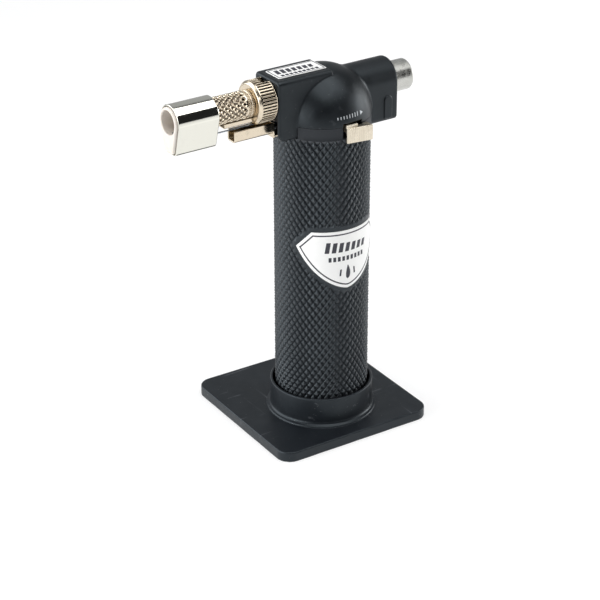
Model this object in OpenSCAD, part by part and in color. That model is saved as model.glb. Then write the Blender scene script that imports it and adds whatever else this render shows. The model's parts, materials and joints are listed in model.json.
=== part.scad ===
// Hand-held butane micro torch on a push-in plastic stand.
// Frame: the grip tube's axis is Z, z = 0 is the underside of the stand, the flame leaves towards -X,
// the ignition button is at +X, and the lock slider and the grip badge face -Y.

/* [Stand] */
// Side of the square base plate
plate_side = 70; // [64:1:90]
// Thickness of the base plate
plate_t = 4.35; // [3:0.05:6]
// Radius of the plate's four corners
plate_corner_r = 6; // [2:0.5:10]
// Plate centre, along X from the grip's axis
plate_dx = -0.6; // [-3:0.1:3]
// Plate centre, along Y from the grip's axis
plate_dy = 6.3; // [-8:0.1:8]
// Turn of the plate about the grip's axis
plate_turn = -1.4; // [-5:0.1:5]
// Outer radius of the socket collar
collar_r = 20.8; // [20.6:0.1:24]
// Height of the collar's rim above the ground
collar_top = 16.5; // [14:0.5:24]

/* [Grip and tank] */
// Outer radius of the knurled grip sleeve
grip_r = 18.85; // [18.85:0.05:18.9]
// Height of the grip sleeve's top edge
grip_top = 126.7; // [126.3:0.1:126.7]
// Wall of the fuel tank
tank_wall = 1.3; // [0.8:0.1:2]
// Height of the badge's lower tip
badge_tip_z = 64.7; // [40:0.1:80]
// Height of the badge's upper edge
badge_top_z = 89.3; // [86:0.1:100]

/* [Head] */
// Radius of the dome
dome_r = 18.95; // [18.95:0.05:19.2]
// Height of the seam under the dome, which is the dome's centre
seam_z = 131.8; // [131.8:0.05:132]
// Half width of the front block
block_half = 8.2; // [8.2:0.05:8.3]
// Front face of the front block
block_x = -25.1; // [-25.1:0.05:-25]
// Top of the front block
block_top = 150.8; // [150.8:0.1:151.5]
// Half width of the rear housing
rear_half = 8.25; // [8.2:0.05:8.3]
// Rear face of the rear housing
rear_x = 29.8; // [29.8:0.1:31]

/* [Burner] */
// Height of the burner's axis
burner_z = 142.25; // [142.25:0.05:142.4]
// Outer radius of the air ring
ring_r = 8.4; // [8:0.1:8.6]
// Outer radius of the perforated heat guard
guard_r = 5.4; // [5.3:0.1:5.4]
// Rows of holes round the heat guard
guard_rows = 16; // [12:1:18]
// Columns of holes along the heat guard
guard_columns = 5; // [3:1:5]
// Round top radius of the nozzle shroud
shroud_r = 6.65; // [6.65:0.05:7]
// Front edge of the nozzle shroud
shroud_front = -67.1; // [-69:0.1:-66]
// How far the ceramic stands proud of the shroud
ceramic_proud = 1.6; // [0.5:0.1:3]

/* [Controls] */
// Radius of the ignition button
button_r = 6.14; // [6:0.01:6.15]
// How far the ignition button stands out of the housing
button_proud = 9.1; // [8:0.1:10]
// Travel of the ignition button
button_travel = 6; // [4:0.5:6]
// Length of the gas lever ahead of the head
lever_reach = 15.9; // [10:0.1:16]
// Width of the gas lever's channel
lever_w = 5.2; // [4:0.1:5.2]

/* [Hidden] */

$fn = 64;
tiny = 0.05;          // gap between pieces that touch
run = 0.08;           // radial running clearance
cut = 1;              // how far a cutter passes a face

// stand and grip
socket_floor = plate_t;
socket_r = grip_r + run;
mouth_r = collar_r - 1.05;
fit_band_top = 10;
foot_r = grip_r - tiny;
foot_z = socket_floor + 2 * tiny;
foot_t = 2;
sleeve_z = foot_z + foot_t + tiny;
sleeve_in = 17.45;

// tank
tank_r = sleeve_in - tiny;
tank_in = tank_r - tank_wall;
tank_floor = foot_z + 4;
tank_top = 118;
filler_recess_z = foot_z + 1.75;

// tank cap and valves
cap_z = 110;
cap_flange_z = tank_top + tiny;
cap_flange_top = 121;
cap_boss_r = 8;
cap_boss_top = 124;
valve_bore_r = 4.55;
valve_neck_top = 130.3;
stem_r = 1.5;
stem_flange_z = 132.3;
barb_r = 0.9;

// head base
base_foot_z = cap_flange_top + tiny;
base_disc_z = 124.3;
base_top = 127;
base_r = sleeve_in - 0.15;
ring_wall_in = 17;
ring_wall_z = grip_top + 0.15;
ring_wall_top = seam_z - tiny;
base_hole_r = 6;
screw_y = 12;

// rocker
pivot_x = 9;
pivot_z = 130.2;
rocker_half = 3;
rocker_z = 130.5;
rocker_top = 131.6;
rocker_angle = 5;
tail_x = 16.5;
bump_r = 0.7;
rail_z = rocker_top + bump_r + 0.1;
rail_drop = (tail_x - pivot_x) * sin(rocker_angle);

// ignition
piezo_z = 138.8;
piezo_r = 4.9;
piezo_x1 = 4;
piezo_x2 = 24;
piezo_bore_r = 2.65;
cup_x = 18;
cup_in = 5.4;
button_x = rear_x + button_proud;
button_wall = 0.9;

// head cover
cover_wall = 1.5;
rear_wall = 1.3;
cover_in = base_r + tiny;
cover_z = seam_z + tiny;
block_end = -0.7;
rear_top_z = 139.6;
rear_bottom = 124.8;
rear_lip = 1.1;
slot_half = 7;
slot_top = 135;

// burner
holder_r = 7;
ring_front = -33.3;
ring_back = -25.4;
holder_back = block_x - 0.1;
holder_front = ring_front + 0.1;
guard_front = -51;
shroud_back = -49.7;
shroud_t = 0.5;
ceramic_front = shroud_front - ceramic_proud;
flame_bore_r = 4.6;
tube_r = 4;
lower_dx = 1.95;
lower_dz = -10.4;
lower_r = 2.2;
wire_y = 0;
wire_z = 133.45;
wire_r = 0.3;
tip_y = -3.3;
tip_z = burner_z - 2.95;

// gas lever
lever_front = block_x - lever_reach;
lever_z = 128.6;
lever_top = 133.05;
lever_t = 0.6;
lever_hub_z = 127.2;

// lock slider
slider_x1 = -2.25;
slider_x2 = 8.4;
slider_y1 = -20.1;    // outer face at its -X end
slider_y2 = -21.75;   // outer face at its +X end
slider_z1 = 125.4;
slider_z2 = 131.5;

// Solid cylinder along X between two stations, centred on the given height.
module bar_x(x1, x2, r, z = burner_z, y = 0) {
    translate([min(x1, x2), y, z]) rotate([0, 90, 0]) cylinder(h = abs(x2 - x1), r = r);
}

// Tube along X.
module tube_x(x1, x2, ro, ri, z = burner_z) {
    difference() {
        bar_x(x1, x2, ro, z);
        bar_x(min(x1, x2) - cut, max(x1, x2) + cut, ri, z);
    }
}

// Solid cylinder along Z between two heights.
module bar_z(z1, z2, r) {
    translate([0, 0, z1]) cylinder(h = z2 - z1, r = r);
}

// Tube along Z.
module tube_z(z1, z2, ro, ri) {
    difference() {
        bar_z(z1, z2, ro);
        bar_z(z1 - cut, z2 + cut, ri);
    }
}

// Box from its lowest to its highest corner.
module span(lo, hi) {
    translate(lo) cube(hi - lo);
}

// Round rod between two points.
module rod(a, b, r) {
    d = b - a;
    translate(a) rotate([0, acos(d[2] / norm(d)), atan2(d[1], d[0])]) cylinder(h = norm(d), r = r);
}

// Round wire through a list of points, with a ball at each bend.
module wire(points, r) {
    for (i = [0 : len(points) - 2]) rod(points[i], points[i + 1], r);
    for (i = [1 : len(points) - 2]) translate(points[i]) sphere(r = 1.05 * r, $fn = 24);
}

// Ring of round section about Z.
module o_ring(mean_r, section_r) {
    rotate_extrude() translate([mean_r, 0]) circle(r = section_r, $fn = 24);
}

// Rectangle with round corners, centred on the origin.
module rounded_rect(w, h, r) {
    square([w - 2 * r, h], center = true);
    square([w, h - 2 * r], center = true);
    for (x = [-1, 1], y = [-1, 1]) translate([x * (w / 2 - r), y * (h / 2 - r)]) circle(r = r);
}

// Helical compression spring standing on z = 0.
module coil(mean_r, section_r, height, turns) {
    steps = 14;
    sides = 6;
    n = turns * steps;
    rise = height - 2 * section_r;
    points = [for (i = [0 : n], k = [0 : sides - 1])
        let (a = 360 * i / steps, b = 360 * k / sides, r = mean_r + section_r * cos(b))
        [r * cos(a), r * sin(a), section_r + rise * i / n + section_r * sin(b)]];
    side_faces = [for (i = [0 : n - 1], k = [0 : sides - 1])
        let (p = i * sides + k, q = i * sides + (k + 1) % sides)
        [p, q, q + sides, p + sides]];
    first = [for (k = [sides - 1 : -1 : 0]) k];
    last = [for (k = [0 : sides - 1]) n * sides + k];
    polyhedron(points, concat(side_faces, [first, last]), convexity = 10);
}

// ---- stand ----

module stand() {
    fillet = 1.45;
    rim_bevel = 0.35;
    color([0.10, 0.10, 0.11]) difference() {
        union() {
            rotate([0, 0, plate_turn]) translate([plate_dx, plate_dy, 0])
                linear_extrude(plate_t) rounded_rect(plate_side, plate_side, plate_corner_r);
            rotate_extrude($fn = 96) polygon(concat(
                [[0, plate_t / 2], [collar_r + fillet, plate_t / 2]],
                [for (a = [0 : 15 : 90]) [collar_r + fillet - fillet * sin(a),
                    plate_t + fillet - fillet * cos(a)]],
                [[collar_r, collar_top - rim_bevel], [collar_r - rim_bevel, collar_top],
                    [0, collar_top]]));
        }
        bar_z(socket_floor, collar_top + cut, socket_r);
        bar_z(fit_band_top, collar_top + cut, mouth_r);
    }
}

// ---- grip and tank ----

module grip_sleeve() {
    color([0.13, 0.14, 0.15]) tube_z(sleeve_z, grip_top, grip_r, sleeve_in);
}

// Half of the badge's outline as [angle from its centre line, height], from the tip to the top edge.
function badge_half() = let (reach = 63.3, shoulder_z = 82.7, bulge = 1.55)
    concat([for (t = [0 : 0.125 : 1]) [reach * t,
        badge_tip_z + (shoulder_z - badge_tip_z) * pow(t, bulge + 0.5 * t)]],
        [[44.2, badge_top_z]]);

module grip_badge() {
    plate_in = grip_r + 0.03;
    badge_t = 0.2;
    centre_turn = -2.5;
    half = badge_half();
    count = len(half);
    outline = concat(half, [for (i = [count - 1 : -1 : 1]) [-half[i][0], half[i][1]]]);
    color([0.92, 0.92, 0.90]) rotate([0, 0, centre_turn]) intersection() {
        tube_z(badge_tip_z - cut, badge_top_z + cut, plate_in + badge_t, plate_in);
        rotate([90, 0, 0]) linear_extrude(grip_r + cut)
            polygon([for (p = outline) [(plate_in + badge_t / 2) * sin(p[0]), p[1]]]);
    }
}

module fuel_tank() {
    color([0.72, 0.73, 0.75]) difference() {
        union() {
            bar_z(foot_z, foot_z + foot_t, foot_r);
            bar_z(foot_z, tank_top, tank_r);
        }
        bar_z(tank_floor, tank_top + cut, tank_in);
        bar_z(foot_z - cut, filler_recess_z, 7);
        bar_z(filler_recess_z - cut, tank_floor + cut, 4.05);
        bar_z(filler_recess_z - tiny, filler_recess_z + 1.05, 5.5);
    }
}

module tank_cap() {
    groove_z = 114.2;
    groove_h = 1.6;
    color([0.62, 0.62, 0.60]) difference() {
        union() {
            bar_z(cap_z, cap_flange_top, tank_in - tiny);
            bar_z(cap_flange_z, cap_flange_top, tank_r);
            bar_z(cap_flange_top - cut, cap_boss_top, cap_boss_r);
        }
        bar_z(cap_z - cut, cap_boss_top + cut, valve_bore_r);
        tube_z(groove_z, groove_z + groove_h, tank_in + cut, tank_in - 1.2);
        for (y = [-1, 1]) translate([0, y * screw_y, 0]) bar_z(114, cap_flange_top + cut, 1.3);
    }
}

module tank_o_ring() {
    color([0.08, 0.08, 0.08]) translate([0, 0, 115]) o_ring(tank_in - 0.62, 0.55);
}

// ---- filler valve ----

module filler_valve_body() {
    color([0.80, 0.66, 0.36]) difference() {
        union() {
            bar_z(filler_recess_z - 1.1, filler_recess_z - tiny, 6);
            bar_z(filler_recess_z - 0.5, 14, 4);
        }
        bar_z(4, 9, 1.66);
        bar_z(8.1, 13.2, 2.8);
        bar_z(13, 15, 1);
    }
}

module filler_valve_stem() {
    color([0.83, 0.70, 0.40]) {
        bar_z(5.2, 9.2, 1.6);
        bar_z(8.2, 9.2, 2.6);
        bar_z(9, 10.5, 1);
    }
}

module filler_valve_spring() {
    color([0.70, 0.71, 0.73]) translate([0, 0, 9.25]) coil(2.0, 0.28, 3.85, 4);
}

module filler_o_ring() {
    color([0.08, 0.08, 0.08]) translate([0, 0, filler_recess_z + 0.5]) o_ring(4.75, 0.48);
}

// ---- outlet valve ----

module outlet_valve_body() {
    groove_z = 113;
    color([0.80, 0.66, 0.36]) difference() {
        union() {
            bar_z(108, cap_boss_top + 0.2, valve_bore_r - tiny);
            bar_z(cap_boss_top + tiny, 125.6, 5.5);
            bar_z(125, valve_neck_top, 3.2);
        }
        bar_z(116, valve_neck_top + cut, stem_r + run);
        bar_z(110, 117, 3);
        bar_z(107, 111, 1.2);
        tube_z(groove_z, groove_z + 1.2, valve_bore_r + cut, 3.7);
    }
}

module outlet_valve_stem() {
    color([0.83, 0.70, 0.40]) difference() {
        union() {
            bar_z(111.2, 112.4, 2.6);
            bar_z(112, stem_flange_z + 0.5, stem_r);
            bar_z(stem_flange_z, stem_flange_z + 0.9, 2.4);
            bar_z(stem_flange_z + 0.5, 137, barb_r);
        }
        bar_z(114, 137 + cut, 0.45);
    }
}

module outlet_valve_spring() {
    color([0.70, 0.71, 0.73]) translate([0, 0, 112.45]) coil(2.1, 0.3, 4.45, 4);
}

module outlet_seat_pad() {
    color([0.10, 0.10, 0.10]) bar_z(110.1, 111.15, 2.2);
}

module outlet_o_ring() {
    color([0.08, 0.08, 0.08]) translate([0, 0, 113.6]) o_ring(4.12, 0.38);
}

module gas_filter() {
    color([0.60, 0.52, 0.38]) difference() {
        bar_z(101, 107.9, 3);
        bar_z(104, 109, 1);
    }
}

// ---- gas lever ----

module flow_adjuster() {
    teeth = 16;
    color([0.85, 0.84, 0.80]) difference() {
        tube_z(125.7, 130.2, 5.2, 3.28);
        for (i = [0 : teeth - 1]) rotate([0, 0, i * 360 / teeth])
            translate([5.35, 0, 0]) bar_z(128.4, 130.2 + cut, 0.4);
    }
}

module gas_lever() {
    half = lever_w / 2;
    root_x = block_x + 1.1;
    hub_r = 7.2;
    color([0.86, 0.82, 0.75]) {
        tube_z(lever_hub_z, lever_hub_z + 0.8, hub_r, 5.25);
        span([root_x, -half, lever_hub_z], [-hub_r + 0.8, half, lever_hub_z + 0.8]);
        span([root_x, -half, 126.9], [root_x + 0.8, half, 132.8]);
        difference() {
            span([lever_front, -half, lever_z], [root_x + 0.4, half, lever_top]);
            span([lever_front - cut, lever_t - half, lever_z + lever_t],
                [root_x, half - lever_t, lever_top + cut]);
        }
    }
}

// ---- rocker between button and valve ----

module rocker_lever() {
    fork_x = -2.8;
    slot_end = 1.9;
    slot_w = 2 * (stem_r + 0.1);
    color([0.30, 0.31, 0.33]) difference() {
        union() {
            span([fork_x, -rocker_half, rocker_z], [tail_x + 1, rocker_half, rocker_top]);
            translate([pivot_x, 0, pivot_z]) rotate([90, 0, 0])
                cylinder(h = 2 * rocker_half, r = 1.6, center = true);
            for (x = [0, tail_x]) translate([x, 0, rocker_top]) rotate([90, 0, 0])
                cylinder(h = 2 * rocker_half, r = x == 0 ? 0.6 : bump_r, center = true);
        }
        span([fork_x - cut, -slot_w / 2, rocker_z - cut], [slot_end, slot_w / 2, rocker_top + cut]);
        translate([pivot_x, 0, pivot_z]) rotate([90, 0, 0])
            cylinder(h = 2 * rocker_half + cut, r = 0.8, center = true);
    }
}

module rocker_pin() {
    color([0.75, 0.76, 0.78]) translate([pivot_x, 0, pivot_z]) rotate([90, 0, 0])
        cylinder(h = 10, r = 0.75, center = true);
}

// ---- gas way to the burner ----

module gas_hose() {
    bend_r = 5;
    bend_z = burner_z - bend_r;
    hose_out = 1.7;
    hose_in = barb_r + tiny;
    color([0.16, 0.16, 0.17]) {
        tube_z(134.3, bend_z, hose_out, hose_in);
        translate([-bend_r, 0, bend_z]) rotate([90, 0, 0]) rotate_extrude(angle = 90)
            translate([bend_r, 0]) difference() {
                circle(r = hose_out, $fn = 32);
                circle(r = hose_in, $fn = 32);
            }
        tube_x(-19, -bend_r, hose_out, hose_in);
    }
}

module gas_jet() {
    color([0.82, 0.68, 0.38]) difference() {
        union() {
            bar_x(-26, -19.5, 1.95);
            bar_x(-20, -16, barb_r);
        }
        bar_x(-24.5, -15, 0.5);
        bar_x(-27, -24, 0.2);
    }
}

module jet_holder() {
    color([0.84, 0.80, 0.73]) difference() {
        union() {
            bar_x(holder_front, holder_back, holder_r);
            bar_x(holder_back - cut, -20, 4.95);
        }
        bar_x(holder_front - cut, -26, 3);
        bar_x(holder_front - cut, -31.2, tube_r + tiny);
        bar_x(-27, -19, 2);
        translate([-27.2, 0, burner_z]) cylinder(h = 2 * holder_r + cut, r = 1.3, center = true);
        tube_x(-31.5, -30.5, holder_r + cut, 6.1);
    }
}

module burner_nut() {
    color([0.78, 0.79, 0.80]) difference() {
        translate([block_x + cover_wall + 0.1, 0, burner_z]) rotate([0, 90, 0])
            cylinder(h = 2.5, r = 6.4, $fn = 6);
        bar_x(-25, -19, 5);
    }
}

module air_ring() {
    bevel = 0.5;
    notch_x = -28.7;
    notch_half = 2.6;
    color([0.85, 0.81, 0.74]) difference() {
        translate([ring_front, 0, burner_z]) rotate([0, 90, 0]) rotate_extrude() polygon([
            [holder_r + tiny, 0], [ring_r - bevel, 0], [ring_r, bevel],
            [ring_r, ring_back - ring_front - bevel], [ring_r - bevel, ring_back - ring_front],
            [holder_r + tiny, ring_back - ring_front]]);
        span([notch_x, -notch_half, burner_z - 2 * ring_r],
            [ring_back + cut, notch_half, burner_z + 2 * ring_r]);
    }
}

module air_ring_o_ring() {
    color([0.08, 0.08, 0.08]) translate([-31, 0, burner_z]) rotate([0, 90, 0]) o_ring(6.53, 0.42);
}

module burner_tube() {
    color([0.70, 0.66, 0.60]) tube_x(-56.3, -31.3, tube_r, 3.3);
}

module heat_guard() {
    pitch = 3.15;
    first_x = -48.2;
    hole_r = 0.6;
    wall = 0.5;
    color([0.86, 0.80, 0.70]) difference() {
        tube_x(guard_front, ring_front - tiny, guard_r, guard_r - wall);
        for (i = [0 : guard_columns - 1], k = [0 : guard_rows - 1])
            translate([first_x + i * pitch, 0, burner_z])
                rotate([(k + (i % 2) / 2) * 360 / guard_rows, 0, 0])
                    translate([0, 0, guard_r - 2 * wall]) cylinder(h = 3 * wall, r = hole_r);
    }
}

module guard_bracket() {
    front_x = -45.6;
    back_x = ring_front - tiny;
    half = 3;
    sheet = 0.5;
    low_z = 135.5;
    top_z = 137.4;
    color([0.84, 0.79, 0.70]) {
        difference() {
            span([front_x, -half, low_z], [back_x, half, top_z]);
            span([front_x - cut, sheet - half, low_z + sheet], [back_x - sheet, half - sheet, top_z + cut]);
            bar_x(front_x - cut, back_x + cut, guard_r + tiny);
        }
    }
}

// ---- nozzle ----

// Section of the nozzle, a round top over a narrower foot; inset moves its outline inwards.
module nozzle_section(inset) {
    hull() {
        circle(r = shroud_r - inset, $fn = 72);
        for (s = [-1, 1]) translate([s * lower_dx, lower_dz]) circle(r = lower_r - inset, $fn = 32);
    }
}

// Nozzle section swept along X, seen with +Y across and +Z up.
module nozzle_body(x1, x2, inset) {
    translate([x1, 0, burner_z]) rotate([90, 0, 90]) linear_extrude(x2 - x1) nozzle_section(inset);
}

module nozzle_shroud() {
    color([0.88, 0.89, 0.90]) difference() {
        nozzle_body(shroud_front, shroud_back, 0);
        nozzle_body(shroud_front - cut, shroud_back - 0.6, shroud_t);
        bar_x(-60, shroud_back + cut, guard_r + tiny);
        bar_x(-60, shroud_back + cut, 0.9, wire_z, wire_y);
    }
}

// The electrode runs under the burner, then turns up into the flame bore.
function electrode_path() = [[-14, wire_y, wire_z], [-60, wire_y, wire_z], [-64, tip_y, tip_z],
    [-67.9, tip_y, tip_z]];

module ceramic_nozzle() {
    path = electrode_path();
    color([0.93, 0.89, 0.86]) difference() {
        nozzle_body(ceramic_front, -51.2, shroud_t + tiny);
        bar_x(ceramic_front - cut, -56.4, flame_bore_r);
        bar_x(-57, -50, tube_r + tiny);
        rod([-50, wire_y, wire_z], path[1], 0.5);
        rod(path[1], path[2], 0.5);
        translate(path[1]) sphere(r = 0.5, $fn = 24);
        rod(path[2], [ceramic_front - cut, tip_y, tip_z], 0.6);
    }
}

module flame_grid() {
    color([0.45, 0.42, 0.38]) difference() {
        bar_x(-57.4, -56.45, flame_bore_r - tiny);
        for (i = [0 : 5])
            bar_x(-58, -55, 0.7, burner_z + 2.7 * sin(i * 60), 2.7 * cos(i * 60));
        bar_x(-58, -56, 1.1);
    }
}

// ---- ignition ----

module electrode_wire() {
    color([0.55, 0.60, 0.65]) wire(electrode_path(), wire_r);
}

module electrode_insulator() {
    color([0.90, 0.88, 0.84]) difference() {
        bar_x(-22.2, -14.5, 0.9, wire_z, wire_y);
        bar_x(-24, -13, wire_r + tiny, wire_z, wire_y);
    }
}

module piezo_lead() {
    color([0.55, 0.10, 0.10]) rod([-13.8, wire_y, wire_z], [piezo_x1 - 0.2, -3.6, 137], 0.5);
}

module piezo_body() {
    color([0.20, 0.22, 0.26]) difference() {
        bar_x(piezo_x1, piezo_x2, piezo_r, piezo_z);
        bar_x(9, piezo_x2 + cut, piezo_bore_r, piezo_z);
    }
}

module piezo_plunger() {
    color([0.90, 0.90, 0.88]) {
        bar_x(16, button_x - 2, piezo_bore_r - tiny, piezo_z);
        bar_x(button_x - 2.5, button_x - button_wall - tiny, 4.6, piezo_z);
    }
}

module piezo_spring() {
    length = button_x - 2.5 - piezo_x2 - 2 * tiny;
    color([0.70, 0.71, 0.73]) translate([piezo_x2 + tiny, 0, piezo_z]) rotate([0, 90, 0])
        coil(4.0, 0.42, length, 5);
}

module ignition_button() {
    edge = 0.6;
    rail_x = tail_x - 0.5;
    rail_half = 2;
    rail_end = tail_x + button_travel + 1.5;
    slope = rail_drop / button_travel;
    color([0.66, 0.67, 0.66]) {
        translate([0, 0, piezo_z]) rotate([0, 90, 0]) rotate_extrude() polygon(concat(
            [[cup_in, cup_x], [button_r, cup_x]],
            [for (a = [0 : 15 : 90]) [button_r - edge + edge * cos(a), button_x - edge + edge * sin(a)]],
            [[0, button_x], [0, button_x - button_wall], [cup_in, button_x - button_wall]]));
        difference() {
            translate([0, rail_half, 0]) rotate([90, 0, 0]) linear_extrude(2 * rail_half) polygon([
                [rail_x, rail_z], [tail_x, rail_z], [rail_end, rail_z - slope * (rail_end - tail_x)],
                [rail_end, piezo_z - button_r + 1], [rail_x, piezo_z - button_r + 1]]);
            bar_x(rail_x - cut, rail_end + cut, cup_in, piezo_z);
        }
    }
}

// ---- head ----

// Front block with round top edges and round front corners.
module block_shape() {
    edge = 1.8;
    corner = 1.4;
    intersection() {
        translate([block_x, 0, 0]) rotate([90, 0, 90]) linear_extrude(block_end - block_x)
            translate([0, block_top / 2]) rounded_rect(2 * block_half, block_top, edge);
        translate([0, 0, ring_wall_z]) linear_extrude(block_top) union() {
            translate([block_x + 10, 0]) rounded_rect(20, 2 * block_half, corner);
            translate([block_x + 10, -block_half]) square([block_end - block_x, 2 * block_half]);
        }
    }
}

// Rear housing with a half-round roof and a bevelled lower lip.
module rear_shape(half, x2, low, lip) {
    rotate([90, 0, 90]) linear_extrude(x2) union() {
        translate([0, rear_top_z]) circle(r = half);
        polygon([[-half, rear_top_z], [-half, low + lip], [-half + lip * 0.6, low],
            [half - lip * 0.6, low], [half, low + lip], [half, rear_top_z]]);
    }
}

// Raised rib on each side of the rear housing.
module rear_ribs() {
    rib_x = 25.05;
    rib_r = 1.85;
    rib_top = 133.35;
    rib_out = rear_half + 0.5;
    for (s = [-1, 1]) {
        translate([rib_x, s * rib_out / 2, rib_top]) rotate([90, 0, 0])
            cylinder(h = rib_out, r = rib_r, center = true);
        translate([rib_x - rib_r, s > 0 ? 0 : -rib_out, rear_bottom + rear_lip])
            cube([2 * rib_r, rib_out, rib_top - rear_bottom - rear_lip]);
    }
}

module head_cover() {
    inner = block_half - cover_wall;
    color([0.16, 0.17, 0.19]) difference() {
        union() {
            intersection() {
                translate([0, 0, seam_z]) sphere(r = dome_r, $fn = 96);
                bar_z(cover_z, seam_z + 2 * dome_r, 2 * dome_r);
            }
            block_shape();
            rear_shape(rear_half, rear_x, rear_bottom, rear_lip);
            rear_ribs();
        }
        translate([0, 0, seam_z]) sphere(r = cover_in, $fn = 96);
        bar_z(rear_bottom - cut, grip_top + 0.1, grip_r + 0.1);
        bar_z(grip_top - cut, cover_z + tiny, cover_in);
        span([block_x + cover_wall, -inner, grip_top], [0, inner, block_top - cover_wall]);
        rear_shape(rear_half - rear_wall, rear_x - cover_wall, rear_bottom + rear_wall, 0);
        bar_x(block_x - cut, block_x + 2 * cover_wall, 5.05);
        bar_x(rear_x - 2 * cover_wall, rear_x + cut, button_r + run, piezo_z);
        span([block_x - cut, -slot_half, grip_top - cut], [block_x + 2 * cover_wall, slot_half, slot_top]);
        span([-3.2, -dome_r, seam_z - cut], [5.6, -cover_in + 4, 133.1]);
    }
}

module head_base() {
    arc_y = block_half + 0.15;
    leg_x1 = 6;
    leg_x2 = 10.5;
    clamp_x1 = 4.2;
    clamp_x2 = 9.8;
    clamp_r = 6.5;
    color([0.15, 0.16, 0.18]) difference() {
        union() {
            bar_z(base_disc_z, base_top, base_r);
            tube_z(base_foot_z, base_top, base_r, base_r - 1.8);
            for (y = [-1, 1]) translate([0, y * screw_y, 0]) bar_z(base_foot_z, base_top, 3);
            difference() {
                tube_z(ring_wall_z, ring_wall_top, grip_r, ring_wall_in);
                span([-30, -arc_y, ring_wall_z - cut], [30, arc_y, ring_wall_top + cut]);
            }
            for (s = [-1, 1]) {
                translate([leg_x1, s > 0 ? 5.2 : -clamp_r, base_top - cut])
                    cube([leg_x2 - leg_x1, clamp_r - 5.2, piezo_z - base_top + cut]);
                translate([7.6, s > 0 ? 3.1 : -6, base_top - cut]) cube([2.8, 2.9, 6.2]);
            }
            bar_x(clamp_x1, clamp_x2, clamp_r, piezo_z);
        }
        bar_z(base_foot_z - cut, base_top + cut, base_hole_r);
        bar_z(base_foot_z - cut, cap_boss_top + 0.2, cap_boss_r + 0.1);
        bar_x(clamp_x1 - cut, leg_x2 + cut, piezo_r + tiny, piezo_z);
        translate([pivot_x, 0, pivot_z]) rotate([90, 0, 0]) cylinder(h = 20, r = 0.78, center = true);
        for (y = [-1, 1]) translate([0, y * screw_y, 0]) bar_z(base_foot_z - cut, base_top + cut, 1.35);
        span([-3.3, -grip_r - cut, base_top + 0.2], [5.9, -ring_wall_in + 1.2, ring_wall_top + cut]);
        span([-base_r - cut, -7.4, ring_wall_z + 0.2], [-12, 7.4, base_top + cut]);
    }
}

module base_screws() {
    color([0.78, 0.79, 0.80]) for (y = [-1, 1]) translate([0, y * screw_y, 0]) difference() {
        union() {
            bar_z(116, base_top + 0.5, 1.25);
            bar_z(base_top + tiny, base_top + 1.25, 2.4);
        }
        bar_z(base_top + 0.7, base_top + 2, 0.9, $fn = 6);
    }
}

module lock_slider() {
    back_r = grip_r + 0.2;
    ribs = 9;
    pitch = (slider_x2 - slider_x1) / ribs;
    color([0.88, 0.85, 0.77]) {
        difference() {
            translate([0, 0, slider_z1]) linear_extrude(slider_z2 - slider_z1) polygon([
                [slider_x1, slider_y1], [slider_x2, slider_y2], [slider_x2, -14], [slider_x1, -14]]);
            bar_z(slider_z1 - cut, slider_z2 + cut, back_r);
            for (i = [1 : ribs - 1])
                translate([slider_x1 + i * pitch, slider_y1 + i * (slider_y2 - slider_y1) / ribs, 0])
                    bar_z(slider_z1 - cut, slider_z2 + cut, 0.22, $fn = 16);
        }
        span([-2.2, -19.4, 129.6], [2.9, -15.6, 132.6]);
    }
}

module slider_detent() {
    color([0.80, 0.60, 0.35]) {
        span([-8, -14.6, base_top + tiny], [-6, -14.2, 132.2]);
        span([-6.5, -14.6, 129.8], [8, -14.2, 132.2]);
        span([-8, -14.6, base_top + tiny], [-6, -11, base_top + 0.5]);
    }
}

module label_plate() {
    front = -22.6;
    back = -1.3;
    half = 4.8;
    color([0.92, 0.92, 0.90]) span([front, -half, block_top + 0.01], [back, half, block_top + 0.25]);
}

stand();
grip_sleeve();
grip_badge();
fuel_tank();
tank_cap();
tank_o_ring();
filler_valve_body();
filler_valve_stem();
filler_valve_spring();
filler_o_ring();
outlet_valve_body();
outlet_valve_stem();
outlet_valve_spring();
outlet_seat_pad();
outlet_o_ring();
gas_filter();
flow_adjuster();
gas_lever();
rocker_lever();
rocker_pin();
gas_hose();
gas_jet();
jet_holder();
burner_nut();
air_ring();
air_ring_o_ring();
burner_tube();
heat_guard();
guard_bracket();
nozzle_shroud();
ceramic_nozzle();
flame_grid();
electrode_wire();
electrode_insulator();
piezo_lead();
piezo_body();
piezo_plunger();
piezo_spring();
ignition_button();
head_cover();
head_base();
base_screws();
lock_slider();
slider_detent();
label_plate();
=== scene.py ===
import json
import math

import bpy
import numpy as np
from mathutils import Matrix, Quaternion, Vector


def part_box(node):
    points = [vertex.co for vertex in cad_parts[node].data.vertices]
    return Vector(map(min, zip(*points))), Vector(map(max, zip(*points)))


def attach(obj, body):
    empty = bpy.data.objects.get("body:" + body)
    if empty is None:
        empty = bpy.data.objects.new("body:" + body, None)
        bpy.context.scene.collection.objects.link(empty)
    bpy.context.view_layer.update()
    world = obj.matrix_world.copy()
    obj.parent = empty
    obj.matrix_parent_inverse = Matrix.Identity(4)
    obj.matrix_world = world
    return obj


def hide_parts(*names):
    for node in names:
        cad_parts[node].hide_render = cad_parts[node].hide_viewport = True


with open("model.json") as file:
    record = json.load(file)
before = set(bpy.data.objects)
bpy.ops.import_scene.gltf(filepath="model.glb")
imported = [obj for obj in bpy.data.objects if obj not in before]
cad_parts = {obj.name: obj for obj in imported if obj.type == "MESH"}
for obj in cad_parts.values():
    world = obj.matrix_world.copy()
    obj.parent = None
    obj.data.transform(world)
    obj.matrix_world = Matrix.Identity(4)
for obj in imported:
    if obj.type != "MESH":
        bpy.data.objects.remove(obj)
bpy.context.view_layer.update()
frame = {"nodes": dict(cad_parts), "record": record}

MM = 0.001  # every helper below works in millimetres


def cad(node):
    """Lowest and highest corner of a CAD node, in millimetres."""
    lo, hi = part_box(node)
    return np.array(lo) / MM, np.array(hi) / MM


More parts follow.
